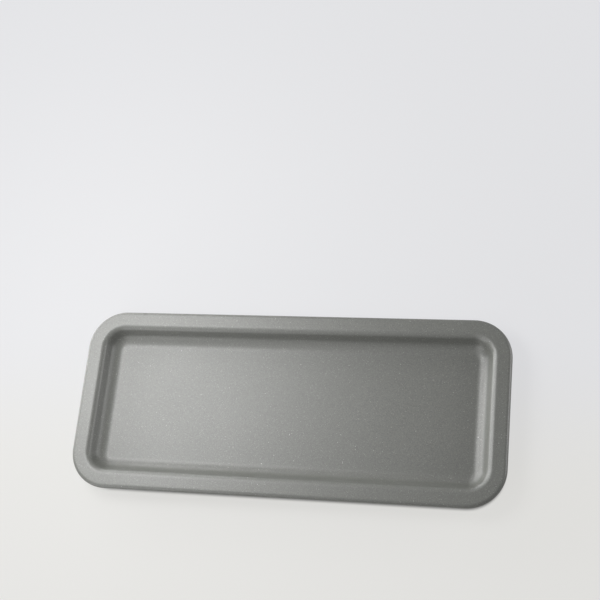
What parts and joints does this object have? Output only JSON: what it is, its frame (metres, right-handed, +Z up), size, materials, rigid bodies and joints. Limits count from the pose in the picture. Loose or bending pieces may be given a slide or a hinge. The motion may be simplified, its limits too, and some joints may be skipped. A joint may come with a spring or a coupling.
{
  "type": "sushi tray",
  "caption": "Long shallow serving tray with rounded corners, a flat rim, sloping walls, a flat floor and a moulded foot ring, in speckled grey ware.",
  "frame": {"origin": "middle of the plane that the foot ring stands on", "axes": "+X along the tray's length, +Y across its width, +Z up out of the well"},
  "size_m": [0.33, 0.14, 0.017],
  "materials": {
    "speckled_ware": "satin moulded ware, neutral grey with fine pale specks"
  },
  "bodies": {
    "root": {"tray_body": "speckled_ware"}
  },
  "joints": []
}
